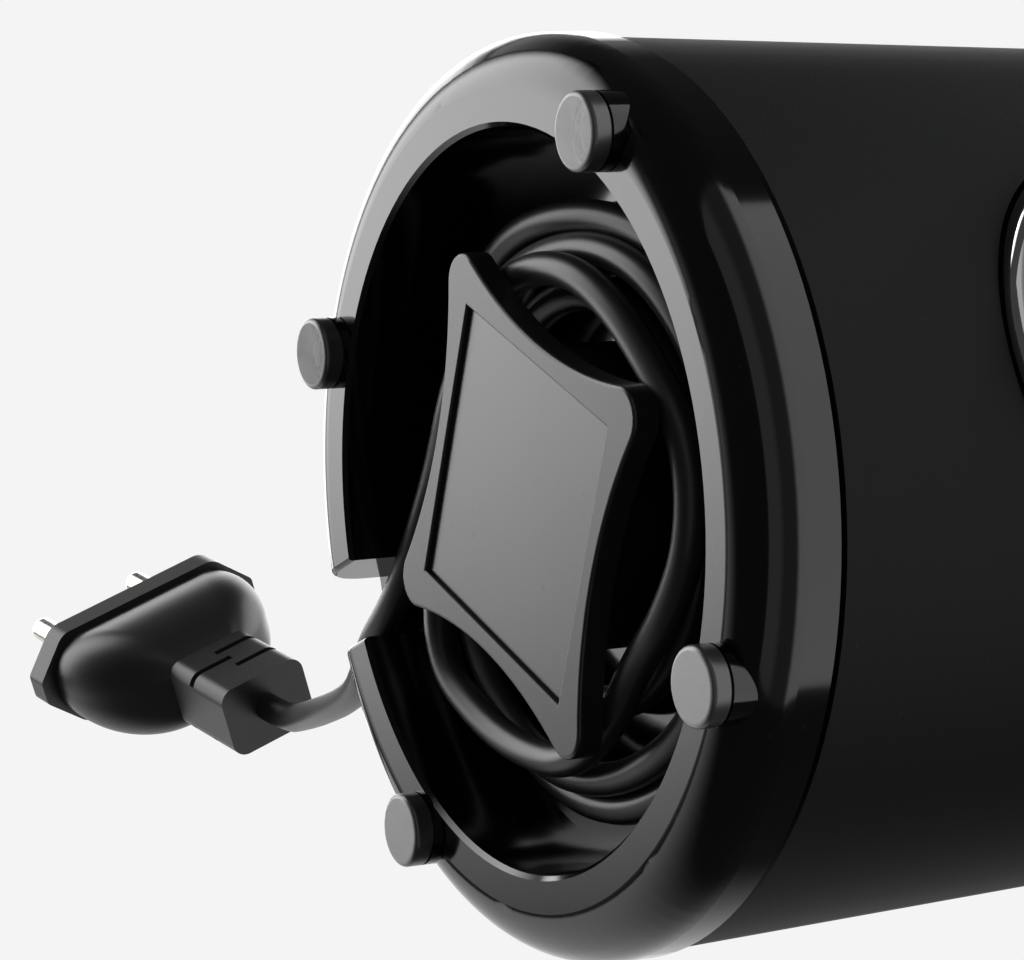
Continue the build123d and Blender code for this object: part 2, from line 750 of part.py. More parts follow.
for bracket_name, bracket_z, cup_side in (
    ("lower_motor_bracket", lower_bracket_z, -1),
    ("upper_motor_bracket", upper_bracket_z, 1),
):
    cup_start_z = bracket_z + bracket_t if cup_side < 0 else bracket_z
    cup_height = bearing_height + bearing_cup_floor
    with BuildPart() as motor_bracket:
        with BuildSketch(Plane.XY.offset(bracket_z)):
            RectangleRounded(bracket_x, bracket_y, 8)
            with GridLocations(2 * bolt_x, 2 * bolt_y, 2, 2):
                Circle(bolt_r + fit_gap, mode=Mode.SUBTRACT)
            with GridLocations(1, 2 * bracket_window_y, 1, 2):
                SlotOverall(bracket_window_length, bracket_window_width, mode=Mode.SUBTRACT)
        extrude(amount=bracket_t)
        with BuildSketch(Plane.XY.offset(cup_start_z)):
            Circle(bearing_r + 1.5)
        extrude(amount=cup_side * cup_height)
        with BuildSketch(Plane.XY.offset(cup_start_z)):
            Circle(bearing_r)
        extrude(amount=cup_side * bearing_height, mode=Mode.SUBTRACT)
        with BuildSketch(Plane.XY.offset(cup_start_z)):
            Circle(shaft_r + 1)
        extrude(amount=cup_side * cup_height, mode=Mode.SUBTRACT)
    keep(motor_bracket, bracket_name)

    bearing_low_z = cup_start_z - bearing_height if cup_side < 0 else cup_start_z
    with BuildPart() as bearing:
        with BuildSketch(Plane.XZ):
            with Locations(((bearing_r + bearing_bore_r) / 2, bearing_low_z + bearing_height / 2)):
                Rectangle(bearing_r - bearing_bore_r, bearing_height)
            with Locations(((bearing_r + bearing_bore_r) / 2, bearing_low_z)):
                Rectangle(2, 0.8, mode=Mode.SUBTRACT)
            with Locations(((bearing_r + bearing_bore_r) / 2, bearing_low_z + bearing_height)):
                Rectangle(2, 0.8, mode=Mode.SUBTRACT)
        revolve(axis=Axis.Z)
    keep(bearing, bracket_name.replace("motor_bracket", "bearing"))

with BuildPart() as motor_bolts:
    with BuildSketch(Plane.XY.offset(lower_bracket_z - 2)):
        with GridLocations(2 * bolt_x, 2 * bolt_y, 2, 2):
            Circle(bolt_r)
    extrude(amount=upper_bracket_z + bracket_t - lower_bracket_z + 2)
    with BuildSketch(Plane.XY.offset(upper_bracket_z + bracket_t)):
        with GridLocations(2 * bolt_x, 2 * bolt_y, 2, 2):
            RegularPolygon(bolt_r + 1.6, 6)
    extrude(amount=2.4)
keep(motor_bolts, "motor_bolts")

with BuildPart() as spacer_sleeves:
    for sleeve_low_z, sleeve_high_z in (
        (lower_bracket_z + bracket_t, stator_low_z),
        (stator_high_z, upper_bracket_z),
    ):
        with BuildSketch(Plane.XY.offset(sleeve_low_z)):
            with GridLocations(2 * bolt_x, 2 * bolt_y, 2, 2):
                Circle(bolt_r + 1.4)
                Circle(bolt_r + fit_gap, mode=Mode.SUBTRACT)
        extrude(amount=sleeve_high_z - sleeve_low_z)
keep(spacer_sleeves, "spacer_sleeves")

with BuildPart() as motor_mounts:
    with BuildSketch(Plane.XY.offset(lower_bracket_z - mount_height)):
        with GridLocations(2 * mount_x, 2 * mount_y, 2, 2):
            Circle(mount_r)
    extrude(amount=mount_height)
    with BuildSketch(Plane.XY.offset(lower_bracket_z - mount_height / 2 - 1)):
        with GridLocations(2 * mount_x, 2 * mount_y, 2, 2):
            Circle(mount_r + 1)
            Circle(mount_r - 1.2, mode=Mode.SUBTRACT)
    extrude(amount=2, mode=Mode.SUBTRACT)
keep(motor_mounts, "motor_mounts")

# ---- Brushes ----

commutator_low_z = 43.0
brush_centre_z = commutator_low_z + commutator_height / 2
holder_base_z = lower_bracket_z + bracket_t
brush_start = commutator_r + commutator_gap
for side_name, side in (("left", -1), ("right", 1)):
    with BuildPart() as brush_holder:
        with BuildSketch(Plane.XY.offset(holder_base_z)):
            with Locations((side * (brush_start + 2 + holder_length / 2), 0)):
                Rectangle(holder_length, brush_y + 4)
        extrude(amount=brush_centre_z + brush_z / 2 + 1.5 - holder_base_z)
        with BuildSketch(Plane.YZ):
            with Locations((0, brush_centre_z)):
                Rectangle(brush_y + 2 * fit_gap, brush_z + 2 * fit_gap)
        extrude(amount=side * 40, mode=Mode.SUBTRACT)
    keep(brush_holder, "brush_holder_" + side_name)
    with BuildPart() as carbon_brush:
        with BuildSketch(Plane.YZ.offset(side * brush_start)):
            with Locations((0, brush_centre_z)):
                Rectangle(brush_y, brush_z)
        extrude(amount=side * brush_length)
    keep(carbon_brush, "carbon_brush_" + side_name)

with BuildPart() as brush_springs:
    for side in (-1, 1):
        with BuildSketch(Plane.YZ.offset(side * (brush_start + brush_length))):
            with Locations((0, brush_centre_z)):
                Circle(brush_spring_r)
                Circle(brush_spring_r - 0.6, mode=Mode.SUBTRACT)
        extrude(amount=side * brush_spring_length)
keep(brush_springs, "brush_springs")

# ---- Rotor ----

rotor_top_z = seat_floor_z + collar_height + 0.8

with BuildPart() as rotor_shaft:
    with BuildSketch(Plane.XY.offset(lower_bracket_z + bracket_t - bearing_height - 0.5)):
        Circle(shaft_r)
    extrude(amount=rotor_top_z + coupling_height - 3 - lower_bracket_z - bracket_t + bearing_height + 0.5)
keep(rotor_shaft, "rotor_shaft")

with BuildPart() as armature_core:
    with BuildSketch(Plane.XY.offset(stator_low_z)):
        Circle(armature_r)
        Circle(shaft_r, mode=Mode.SUBTRACT)
        with PolarLocations(armature_r - armature_slot_depth / 2, armature_slots):
            Rectangle(armature_slot_depth, armature_slot_width, mode=Mode.SUBTRACT)
    extrude(amount=stator_height)
keep(armature_core, "armature_core")

with BuildPart() as armature_winding:
    for winding_z in (stator_low_z - winding_height, stator_high_z):
        with BuildSketch(Plane.XY.offset(winding_z)):
            Circle(armature_r - 2)
            Circle(shaft_r + 1, mode=Mode.SUBTRACT)
        extrude(amount=winding_height)
keep(armature_winding, "armature_winding")

with BuildPart() as commutator:
    with BuildSketch(Plane.XY.offset(commutator_low_z)):
        Circle(commutator_r)
        Circle(shaft_r, mode=Mode.SUBTRACT)
        with PolarLocations(commutator_r, armature_slots):
            Rectangle(1.6, 0.5, mode=Mode.SUBTRACT)
    extrude(amount=commutator_height)
keep(commutator, "commutator")

fan_low_z = stator_high_z + field_coil_reach + 1.2
with BuildPart() as cooling_fan:
    with BuildSketch(Plane.XY.offset(fan_low_z)):
        Circle(fan_r)
        Circle(shaft_r, mode=Mode.SUBTRACT)
    extrude(amount=1.4)
    with BuildSketch(Plane.XY.offset(fan_low_z + 1.4)):
        Circle(2 * shaft_r)
        with PolarLocations(fan_r * 0.68, fan_blades):
            Rectangle(fan_r * 0.56, 1.2, rotation=25)
        Circle(shaft_r, mode=Mode.SUBTRACT)
    extrude(amount=3)
keep(cooling_fan, "cooling_fan")

with BuildPart() as drive_coupling:
    with BuildSketch(Plane.XY.offset(rotor_top_z)):
        Circle(coupling_r - 3)
        with PolarLocations((coupling_r - 1) / 2, coupling_teeth):
            Rectangle(coupling_r - 1, 4.4)
    extrude(amount=coupling_height)
    fillet(drive_coupling.edges().group_by(Axis.Z)[-1], 0.8)
    with BuildSketch(Plane.XY.offset(rotor_top_z)):
        Circle(shaft_r)
    extrude(amount=coupling_height - 3, mode=Mode.SUBTRACT)
keep(drive_coupling, "drive_coupling")

# ---- Wiring inside the body ----

board_y = 34.0
board_t = 1.6
board_width = 36.0
board_height = 44.0
board_face_y = board_y + board_t
terminal_x = -8.0
terminal_width = 15.0
terminal_height = 9.0
terminal_depth = 8.0
terminal_z = floor_top_z + 12
capacitor_depth = 7.0

with BuildPart() as filter_board:
    with BuildSketch(Plane.XZ.offset(-board_y)):
        with Locations((0, floor_top_z + board_height / 2)):
            Rectangle(board_width, board_height)
    extrude(amount=-board_t)
keep(filter_board, "filter_board")

with BuildPart() as filter_capacitor:
    with BuildSketch(Plane.XZ.offset(-board_face_y)):
        with Locations((6, floor_top_z + 30)):
            RectangleRounded(16, 10, 1)
    extrude(amount=-capacitor_depth)
keep(filter_capacitor, "filter_capacitor")

with BuildPart() as terminal_block:
    with BuildSketch(Plane.XZ.offset(-board_face_y)):
        with Locations((terminal_x, terminal_z)):
            Rectangle(terminal_width, terminal_height)
    extrude(amount=-terminal_depth)
    with BuildSketch(Plane.XZ.offset(-board_face_y - terminal_depth)):
        with Locations((terminal_x, terminal_z)):
            with GridLocations(terminal_width / 3, 1, 3, 1):
                Circle(1.4)
    extrude(amount=3, mode=Mode.SUBTRACT)
keep(terminal_block, "terminal_block")

wire_r = 0.9
wire_y = board_face_y + 2.4
wire_z = terminal_z - 1
for wire_name, wire_shift in (("mains_wire_live", -1.3), ("mains_wire_neutral", 1.3)):
    with BuildPart() as mains_wire:
        with BuildLine() as wire_line:
            FilletPolyline(
                (gland_x + wire_shift, 0, floor_top_z + 4),
                (gland_x + wire_shift, 0, wire_z + wire_shift),
                (gland_x - 7 + wire_shift, 0, wire_z + wire_shift),
                (gland_x - 7 + wire_shift, wire_y + wire_shift, wire_z + wire_shift),
                (terminal_x - terminal_width / 2, wire_y + wire_shift, wire_z + wire_shift),
                radius=2.5,
            )
        with BuildSketch(Plane(wire_line.line @ 0, z_dir=wire_line.line % 0)):
            Circle(wire_r)
        sweep()
    keep(mains_wire, wire_name)

# ---- Gland, wound flex, loose flex and plug ----

with BuildPart() as cord_gland:
    with BuildSketch(Plane.XY.offset(gland_low_z)):
        with Locations((gland_x, 0)):
            Circle(gland_r)
    extrude(amount=floor_top_z - gland_low_z)
    with BuildSketch(Plane.XY.offset(gland_low_z)):
        with Locations((gland_x, 0)):
            Circle(gland_r + 1.6)
    extrude(amount=recess_floor_z - gland_low_z)
    chamfer(cord_gland.edges().group_by(Axis.Z)[0], 0.4 * (recess_floor_z - gland_low_z))
    with BuildSketch(Plane.XY.offset(floor_top_z)):
        with Locations((gland_x, 0)):
            Circle(gland_r + 2)
    extrude(amount=4)
keep(cord_gland, "cord_gland")

with BuildPart() as cord_coil:
    with BuildSketch(Plane.XY.offset(coil_low_z)):
        Circle(coil_outer_r)
        Circle(coil_inner_r, mode=Mode.SUBTRACT)
    extrude(amount=coil_high_z - coil_low_z)
    fillet(cord_coil.edges(), coil_round)
keep(cord_coil, "cord_coil")

plug_axis = Vector(-0.510, 0.855, -0.095).normalized()
plug_up = Vector(0.794, 0.507, 0.337)
plug_up = (plug_up - plug_axis * plug_up.dot(plug_axis)).normalized()
plug_tip = plug_axis.cross(plug_up)
plug_reach = abs(plug_tip.Z) * plug_width / 2 + abs(plug_up.Z) * plug_point / 2
plug_place = Vector(-24.9, 168.4, plug_reach + abs(plug_axis.Z) * plug_flange_t + floor_gap)
plug_back = plug_place - plug_axis * (plug_flange_t + plug_body_length + relief_length)


def plug_plane(distance):
    """Plane across the plug, the given distance behind the face that carries the pins."""
    return Plane(origin=plug_place - plug_axis * distance, x_dir=plug_tip, z_dir=plug_axis)


cord_route = [
    (-14.0, 33.0, 12.3),
    (-5.6, 42.2, 11.3),
    (0.2, 51.2, 10.9),
    (3.3, 60.6, 11.1),
    (5.9, 69.2, 13.2),
    (6.9, 78.2, 15.7),
    (6.3, 88.0, 17.9),
    (5.1, 98.0, 20.1),
    (3.8, 107.6, 22.5),
    (2.4, 116.6, 24.6),
    tuple(plug_back - plug_axis * 7),
    tuple(plug_back),
]


def route_radii(route):
    """Radius of the arc at each inner point of a route."""
    points = [Vector(*point) for point in route]
    radii = []
    for before, corner, after in zip(points, points[1:], points[2:]):
        arriving = corner - before
        leaving = after - corner
        shorter = min(arriving.length, leaving.length)
        radii.append(0.45 * shorter / tan(radians(arriving.get_angle(leaving)) / 2))
    return radii


cord_radii = route_radii(cord_route)
print("cord arcs", [round(radius, 1) for radius in cord_radii])

with BuildPart() as cord_tube:
    with BuildLine() as cord_line:
        FilletPolyline(*cord_route, radius=cord_radii)
    with BuildSketch(Plane(cord_line.line @ 0, z_dir=cord_line.line % 0)):
        Circle(flex_d / 2)
    sweep()
keep(cord_tube, "cord_tube")
tube_length = cord_line.wires()[0].length
tube_volume = pi * flex_d**2 / 4 * tube_length
print("cord tube length", round(tube_length, 1))
print("cord tube volume ratio", round(cord_tube.part.volume / tube_volume, 4))

half_width = plug_width / 2
half_height = plug_height / 2
shoulder_x = half_width - plug_shoulder
relief_start = plug_flange_t + plug_body_length

with BuildPart() as plug_body:
    with BuildSketch(plug_plane(plug_flange_t)) as plug_outline:
        with BuildLine():
            Polyline(
                (half_width, plug_point / 2),
                (shoulder_x, half_height),
                (-shoulder_x, half_height),
                (-half_width, plug_point / 2),
                (-half_width, -plug_point / 2),
                (-shoulder_x, -half_height),
                (shoulder_x, -half_height),
                (half_width, -plug_point / 2),
                (half_width, plug_point / 2),
            )
        make_face()
        fillet(plug_outline.vertices().sort_by_distance((0, 0, 0))[:4], plug_shoulder_round)
        fillet(plug_outline.vertices().sort_by_distance((0, 0, 0))[-4:], plug_point_round)
    extrude(amount=plug_flange_t)
    with BuildSketch(plug_plane(plug_flange_t)):
        RectangleRounded(plug_width - 4 * plug_step, plug_height - 2 * plug_step, 0.4 * plug_height)
    with BuildSketch(plug_plane(plug_flange_t + plug_body_length * 0.42)):
        RectangleRounded(plug_belly_width, plug_belly_height, 0.45 * plug_belly_height)
    with BuildSketch(plug_plane(relief_start)):
        RectangleRounded(relief_width - 1.5, relief_height - 1, relief_round)
    loft()
keep(plug_body, "plug_body")

with BuildPart() as plug_relief:
    with BuildSketch(plug_plane(relief_start + relief_length)):
        RectangleRounded(relief_width, relief_height, relief_round)
    extrude(amount=relief_length)
    for slot_step, slot_side in zip(relief_slot_z, (-1, 1, -1)):
        slot_x = slot_side * relief_slot_shift
        with BuildSketch(plug_plane(relief_start + slot_step + relief_slot_t)):
            with Locations((slot_x, relief_height / 2), (-slot_x, -relief_height / 2)):
                Rectangle(relief_slot_length, 2 * relief_slot_depth)
        extrude(amount=relief_slot_t, mode=Mode.SUBTRACT)
keep(plug_relief, "plug_relief")

for pin_name, pin_side in (("plug_pin_low", -1), ("plug_pin_high", 1)):
    with BuildPart() as plug_pin:
        with BuildSketch(plug_plane(0)):
            with Locations((pin_side * pin_spacing / 2, 0)):
                Circle(pin_r)
        extrude(amount=pin_length)
        tip_edge = plug_pin.edges().filter_by(GeomType.CIRCLE).sort_by(
            lambda edge: (edge.center() - plug_place).dot(plug_axis)
        )[-1]
        fillet(tip_edge, pin_r * 0.8)
    keep(plug_pin, pin_name)
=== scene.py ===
from math import cos, exp, pi, radians, sin

import bpy
from mathutils import Matrix, Vector


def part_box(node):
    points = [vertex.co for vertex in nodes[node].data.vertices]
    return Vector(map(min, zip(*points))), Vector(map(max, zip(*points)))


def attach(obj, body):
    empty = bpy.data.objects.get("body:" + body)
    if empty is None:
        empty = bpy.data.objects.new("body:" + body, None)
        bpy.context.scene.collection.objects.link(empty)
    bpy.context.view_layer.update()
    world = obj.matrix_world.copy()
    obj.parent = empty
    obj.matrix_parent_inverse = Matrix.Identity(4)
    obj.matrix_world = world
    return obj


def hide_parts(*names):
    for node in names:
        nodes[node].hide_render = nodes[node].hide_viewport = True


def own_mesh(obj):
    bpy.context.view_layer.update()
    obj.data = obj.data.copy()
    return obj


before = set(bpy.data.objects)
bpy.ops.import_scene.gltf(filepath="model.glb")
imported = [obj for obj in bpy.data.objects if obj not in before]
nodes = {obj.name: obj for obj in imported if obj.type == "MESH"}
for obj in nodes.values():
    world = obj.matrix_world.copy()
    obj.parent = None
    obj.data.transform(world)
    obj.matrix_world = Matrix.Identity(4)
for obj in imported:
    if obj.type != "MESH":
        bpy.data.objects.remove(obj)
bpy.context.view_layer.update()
scene = bpy.context.scene
mm = 0.001
print("frame loaded:", len(nodes), "nodes")

# camera, close under the front edge and rolled on its side

cameraPlan = {
    "azimuth": 14.7045,
    "elevation": -28.2121,
    "roll": 85.9057,
    "place": (0.10508, -0.41156, -0.22353),
    "lens": 131.87,
    "sensor": 36.0,
}


def makeCamera(plan):
    turn, lift, roll = (radians(plan[key]) for key in ("azimuth", "elevation", "roll"))
    back = Vector((sin(turn) * cos(lift), -cos(turn) * cos(lift), sin(lift)))
    side = (-back).cross(Vector((0, 0, 1))).normalized()
    top = side.cross(-back)
    right = cos(roll) * side + sin(roll) * top
    up = cos(roll) * top - sin(roll) * side
    data = bpy.data.cameras.new("underCamera")
    data.lens = plan["lens"]
    data.sensor_width = plan["sensor"]
    data.clip_start = 0.01
    data.dof.use_dof = False
    camera = bpy.data.objects.new("underCamera", data)
    scene.collection.objects.link(camera)
    turned = Matrix((right, up, back)).transposed().to_4x4()
    camera.matrix_world = Matrix.Translation(plan["place"]) @ turned
    scene.camera = camera


makeCamera(cameraPlan)
scene.view_settings.view_transform = "Standard"
print("camera placed")

# shader tools


def feed(tree, slot, value):
    if isinstance(value, Wire):
        tree.links.new(value.socket, slot)
    elif hasattr(slot.default_value, "__len__") and not hasattr(value, "__len__"):
        slot.default_value = [value] * len(slot.default_value)
    elif hasattr(value, "__len__") and len(slot.default_value) == 4 and len(value) == 3:
        slot.default_value = (*value, 1)
    else:
        slot.default_value = value


class Wire:  # an output socket that can be added, multiplied and so on
    def __init__(self, tree, socket):
        self.tree = tree
        self.socket = socket

    def maths(self, operation, first, second=0.0):
        node = self.tree.nodes.new("ShaderNodeMath")
        node.operation = operation
        feed(self.tree, node.inputs[0], first)
        feed(self.tree, node.inputs[1], second)
        return Wire(self.tree, node.outputs[0])

    def __add__(self, other):
        return self.maths("ADD", self, other)

    __radd__ = __add__

    def __sub__(self, other):
        return self.maths("SUBTRACT", self, other)

    def __rsub__(self, other):
        return self.maths("SUBTRACT", other, self)

    def __mul__(self, other):
        return self.maths("MULTIPLY", self, other)

    __rmul__ = __mul__

    def __truediv__(self, other):
        return self.maths("DIVIDE", self, other)

    def step(self, low, high):  # 0 under low, 1 over high, smooth between
        node = self.tree.nodes.new("ShaderNodeMapRange")
        node.interpolation_type = "SMOOTHSTEP"
        for slot, value in zip(node.inputs, (self, low, high, 0.0, 1.0)):
            feed(self.tree, slot, value)
        return Wire(self.tree, node.outputs[0])

    def wave(self):
        return self.maths("SINE", self)

    def size(self):
        return self.maths("ABSOLUTE", self)


class Finish:  # one material and its nodes
    def __init__(self, name):
        self.material = bpy.data.materials.new(name)
        self.material.use_nodes = True
        self.tree = self.material.node_tree
        self.tree.nodes.clear()
        self.place = self.node("TexCoord", give="Object")

    def node(self, kind, settings=None, values=None, give=0):
        made = self.tree.nodes.new("ShaderNode" + kind)
        for key, value in (settings or {}).items():
            setattr(made, key, value)
        for key, value in (values or {}).items():
            feed(self.tree, made.inputs[key], value)
        return Wire(self.tree, made.outputs[give])

    def axis(self, letter):
        return self.node("SeparateXYZ", None, {0: self.place}, give=letter)

    def stretched(self, scale, turn=(0, 0, 0), centre=(0, 0, 0)):
        shifted = self.node("VectorMath", {"operation": "SUBTRACT"}, {0: self.place, 1: centre})
        return self.node("Mapping", None, {"Vector": shifted, "Scale": scale, "Rotation": turn})

    def noise(self, scale, detail=2.0, rough=0.5, place=None):
        values = {"Vector": place or self.place, "Scale": scale, "Detail": detail, "Roughness": rough}
        return self.node("TexNoise", None, values)

    def blend(self, share, first, second):
        return self.node("Mix", {"data_type": "RGBA"}, {0: share, 6: first, 7: second}, give=2)

    def bump(self, height, depth):
        return self.node("Bump", None, {"Height": height, "Distance": depth, "Strength": 1.0})

    def shown(self, shader):  # the last step: this shader is the material's surface
        output = self.tree.nodes.new("ShaderNodeOutputMaterial")
        self.tree.links.new(shader.socket, output.inputs[0])
        return self.material

    def done(self, colour, roughness, normal, **fixed):
        values = {"Base Color": colour, "Roughness": roughness, "Normal": normal}
        for key, value in fixed.items():
            values[key.replace("_", " ")] = value
        return self.shown(self.node("BsdfPrincipled", None, values))


# finishes: each has a colour that drifts, a grain in the surface and marks of use


def moulded(name, look):  # plastic or rubber from a mould
    made = Finish(name)
    drift = made.noise(look.get("driftScale", 18), 3)
    grain = made.noise(look["grainScale"], 2, 0.6)
    dust = made.noise(look.get("dustScale", 900), 2, 0.7).step(0.68, 0.78) * drift.step(0.35, 0.65)
    scuffs = made.noise(14, 4, 0.7, made.stretched((22, 90, 40), (0.5, 0.3, 0.8))).step(0.62, 0.7)
    low = Vector(look["colour"]) * (1 - look.get("drift", 0.12))
    high = Vector(look["colour"]) * (1 + look.get("drift", 0.12))
    colour = made.blend(drift, low, high)
    extra = dict(look.get("fixed", {}))
    if "jointTop" in look:  # the joint under the shell lies in shadow and has no shine
        above = made.axis("Z").step(look["jointTop"], look["jointTop"] + 0.0001)
        colour = made.blend(above, (0.0003, 0.0003, 0.0003), colour)
        extra["Metallic"] = 1 - above
    if "soleSheenColour" in look:  # painted sheen: the face that stands on the worktop is painted lighter, standing in for the sheen it shows
        down = made.node("NewGeometry", give="Normal")
        sheenShare = 1 - made.node("SeparateXYZ", None, {0: down}, give="Z").step(-0.97, -0.75)
        colour = made.blend(sheenShare * (0.8 + drift * 0.2), colour, look["soleSheenColour"])
    colour = made.blend(dust * look.get("dust", 0.15), colour, look.get("dustColour", (0.32, 0.31, 0.29)))
    roughness = look["roughness"] + (drift - 0.5) * look.get("patches", 0.06)
    roughness = roughness + scuffs * look.get("scuffs", 0.05) + dust * look.get("dust", 0.15)
    normal = made.bump(grain, look["grainDepth"])
    return made.done(colour, roughness, normal, **extra)


def metal(name, look):  # drawn, turned, stamped or plated metal
    made = Finish(name)
    strokes = made.noise(1, 3, 0.6, made.stretched(look["strokes"]))
    tarnish = made.noise(look.get("tarnishScale", 120), 4, 0.6)
    spots = made.noise(700, 2, 0.7).step(0.66, 0.76)
    colour = made.blend(tarnish.step(0.3, 0.75), look["colour"], look["darker"])
    colour = made.blend(spots * look.get("spots", 0.2), colour, Vector(look["darker"]) * 0.6)
    roughness = look["roughness"] + (strokes - 0.5) * look.get("strokeShare", 0.15)
    roughness = roughness + spots * look.get("spots", 0.2) * 0.5
    normal = made.bump(strokes, look.get("strokeDepth", 0.000004))
    return made.done(colour, roughness, normal, Metallic=1.0, **look.get("fixed", {}))


def laminated(name, look):  # a pack of thin punched sheets, stacked along Z
    made = Finish(name)
    layers = (made.axis("Z") * (2 * pi / look["sheet"])).wave()
    rust = made.noise(90, 4, 0.65)
    lacquer = made.noise(400, 3)
    colour = made.blend(layers.step(-0.9, -0.4), look["seam"], look["colour"])
    colour = made.blend(rust.step(0.58, 0.74) * 0.5, colour, look["rust"])
    roughness = 0.36 + lacquer * 0.18
    normal = made.bump(layers * 0.5 + lacquer * 0.3, look["depth"])
    return made.done(colour, roughness, normal, Metallic=0.85)


def wound(name, look):  # enamelled copper wire, its turns seen as fine ridges
    made = Finish(name)
    turns = (made.axis("Z") + made.axis("X") * look["slant"]) * (2 * pi / look["wire"])
    ridges = turns.wave()
    heat = made.noise(110, 3)
    varnish = made.noise(600, 2)
    # painted shade: the grooves between the turns are painted a darker copper
    colour = made.blend(ridges.step(-1, 0.2), look["grooveShade"], look["colour"])
    colour = made.blend(heat.step(0.45, 0.8) * 0.6, colour, look["dark"])
    roughness = 0.24 + varnish * 0.14
    normal = made.bump(ridges, look["depth"])
    return made.done(colour, roughness, normal, Metallic=0.8, Coat_Weight=0.4, Coat_Roughness=0.15)


